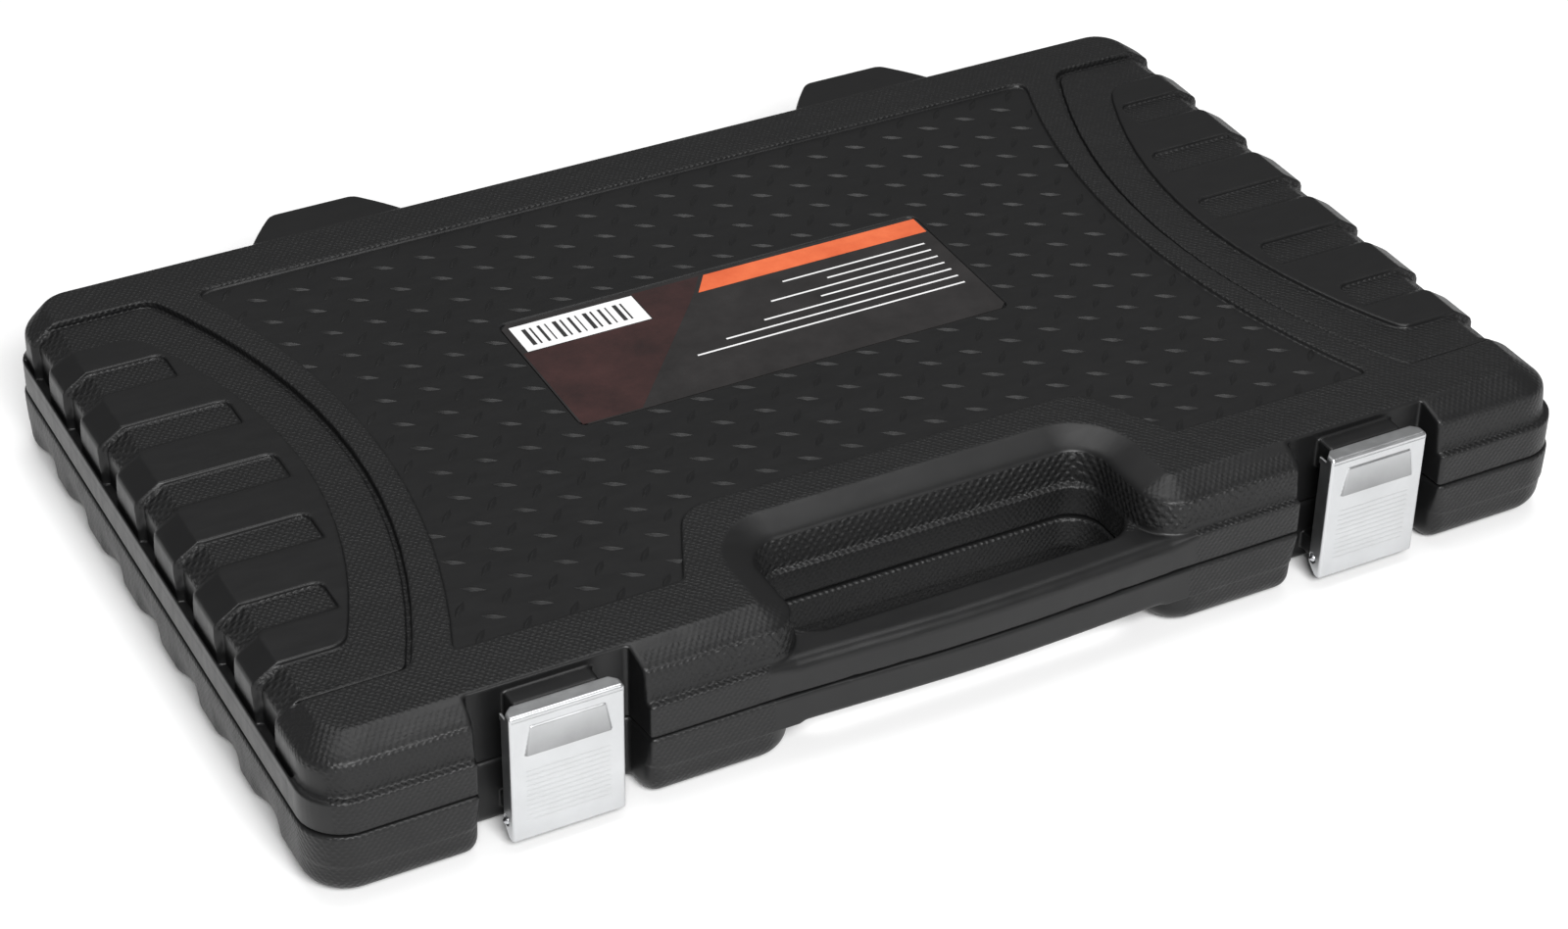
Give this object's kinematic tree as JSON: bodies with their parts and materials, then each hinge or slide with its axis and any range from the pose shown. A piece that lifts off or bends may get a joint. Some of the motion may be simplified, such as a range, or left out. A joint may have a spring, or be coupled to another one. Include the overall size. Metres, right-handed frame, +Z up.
{
  "type": "wrench set in case",
  "caption": "Flat black carry case with hinged lid, steel latches and hand hollow, holding flex-head ratcheting combination wrenches in moulded pockets.",
  "frame": {"origin": "on the surface that the case lies on, under the middle of its outer box", "axes": "+X along the case's long side, to the right as seen from the latches; +Y from the latches to the hinge; +Z up, out of the lid"},
  "size_m": [0.48, 0.316, 0.0558],
  "materials": {
    "case_plastic": "black blow-moulded polyethylene, grained with smooth ribs",
    "latch_zinc": "zinc-plated sheet steel, fine horizontal brushing",
    "pin_steel": "drawn steel",
    "wrench_chrome": "satin chrome on forged steel",
    "ring_steel": "machined steel, darker than the chrome",
    "label_print": null
  },
  "bodies": {
    "base": {"base_shell": "case_plastic", "hinge_pin_left": "pin_steel", "hinge_pin_right": "pin_steel", "latch_pin_left": "pin_steel", "latch_pin_right": "pin_steel", "wrench_24_handle": "wrench_chrome", "wrench_24_flex_head": "wrench_chrome", "wrench_27_handle": "wrench_chrome", "wrench_27_flex_head": "wrench_chrome", "wrench_30_handle": "wrench_chrome", "wrench_30_flex_head": "wrench_chrome", "wrench_32_handle": "wrench_chrome", "wrench_32_flex_head": "wrench_chrome"},
    "lid": {"lid_shell": "case_plastic", "label": "label_print", "wrench_08_handle": "wrench_chrome", "wrench_08_flex_head": "wrench_chrome", "wrench_10_handle": "wrench_chrome", "wrench_10_flex_head": "wrench_chrome", "wrench_12_handle": "wrench_chrome", "wrench_12_flex_head": "wrench_chrome", "wrench_13_handle": "wrench_chrome", "wrench_13_flex_head": "wrench_chrome", "wrench_14_handle": "wrench_chrome", "wrench_14_flex_head": "wrench_chrome", "wrench_15_handle": "wrench_chrome", "wrench_15_flex_head": "wrench_chrome", "wrench_17_handle": "wrench_chrome", "wrench_17_flex_head": "wrench_chrome", "wrench_19_handle": "wrench_chrome", "wrench_19_flex_head": "wrench_chrome", "wrench_22_handle": "wrench_chrome", "wrench_22_flex_head": "wrench_chrome"},
    "latch_left": {"latch_left_plate": "latch_zinc"},
    "latch_right": {"latch_right_plate": "latch_zinc"},
    "ring_08": {"wrench_08_ratchet_ring": "ring_steel"},
    "ring_10": {"wrench_10_ratchet_ring": "ring_steel"},
    "ring_12": {"wrench_12_ratchet_ring": "ring_steel"},
    "ring_13": {"wrench_13_ratchet_ring": "ring_steel"},
    "ring_14": {"wrench_14_ratchet_ring": "ring_steel"},
    "ring_15": {"wrench_15_ratchet_ring": "ring_steel"},
    "ring_17": {"wrench_17_ratchet_ring": "ring_steel"},
    "ring_19": {"wrench_19_ratchet_ring": "ring_steel"},
    "ring_22": {"wrench_22_ratchet_ring": "ring_steel"},
    "ring_24": {"wrench_24_ratchet_ring": "ring_steel"},
    "ring_27": {"wrench_27_ratchet_ring": "ring_steel"},
    "ring_30": {"wrench_30_ratchet_ring": "ring_steel"},
    "ring_32": {"wrench_32_ratchet_ring": "ring_steel"}
  },
  "joints": [
    {"name": "lid_hinge", "type": "hinge", "parent": "base", "child": "lid", "pos_m": [0, 0.149, 0.0263], "axis": [-1, 0, 0], "range_deg": [0, 110]},
    {"name": "latch_left_hinge", "type": "hinge", "parent": "base", "child": "latch_left", "pos_m": [-0.1545, -0.152, 0.01], "axis": [1, 0, 0], "range_deg": [0, 90]},
    {"name": "latch_right_hinge", "type": "hinge", "parent": "base", "child": "latch_right", "pos_m": [0.1545, -0.152, 0.01], "axis": [1, 0, 0], "range_deg": [0, 90]},
    {"name": "ring_08_spin", "type": "hinge", "parent": "lid", "child": "ring_08", "pos_m": [0.08798, 0.097, 0.0375], "axis": [0, 0, 1], "continuous": true},
    {"name": "ring_10_spin", "type": "hinge", "parent": "lid", "child": "ring_10", "pos_m": [-0.0376, -0.0799, 0.0375], "axis": [0, 0, 1], "continuous": true},
    {"name": "ring_12_spin", "type": "hinge", "parent": "lid", "child": "ring_12", "pos_m": [0.05422, 0.04492, 0.0375], "axis": [0, 0, 1], "continuous": true},
    {"name": "ring_13_spin", "type": "hinge", "parent": "lid", "child": "ring_13", "pos_m": [0.02753, -0.04417, 0.0375], "axis": [0, 0, 1], "continuous": true},
    {"name": "ring_14_spin", "type": "hinge", "parent": "lid", "child": "ring_14", "pos_m": [0.03534, -0.00178, 0.0375], "axis": [0, 0, 1], "continuous": true},
    {"name": "ring_15_spin", "type": "hinge", "parent": "lid", "child": "ring_15", "pos_m": [-0.00815, -0.04417, 0.0375], "axis": [0, 0, 1], "continuous": true},
    {"name": "ring_17_spin", "type": "hinge", "parent": "lid", "child": "ring_17", "pos_m": [-0.00277, -0.00178, 0.0375], "axis": [0, 0, 1], "continuous": true},
    {"name": "ring_19_spin", "type": "hinge", "parent": "lid", "child": "ring_19", "pos_m": [0.01611, 0.04492, 0.0375], "axis": [0, 0, 1], "continuous": true},
    {"name": "ring_22_spin", "type": "hinge", "parent": "lid", "child": "ring_22", "pos_m": [0.05068, 0.097, 0.0375], "axis": [0, 0, 1], "continuous": true},
    {"name": "ring_24_spin", "type": "hinge", "parent": "base", "child": "ring_24", "pos_m": [-0.13956, -0.08798, 0.0134], "axis": [0, 0, 1], "continuous": true},
    {"name": "ring_27_spin", "type": "hinge", "parent": "base", "child": "ring_27", "pos_m": [0.14963, -0.03302, 0.0134], "axis": [0, 0, 1], "continuous": true},
    {"name": "ring_30_spin", "type": "hinge", "parent": "base", "child": "ring_30", "pos_m": [-0.1647, 0.0276, 0.0134], "axis": [0, 0, 1], "continuous": true},
    {"name": "ring_32_spin", "type": "hinge", "parent": "base", "child": "ring_32", "pos_m": [0.17308, 0.0928, 0.0134], "axis": [0, 0, 1], "continuous": true}
  ]
}
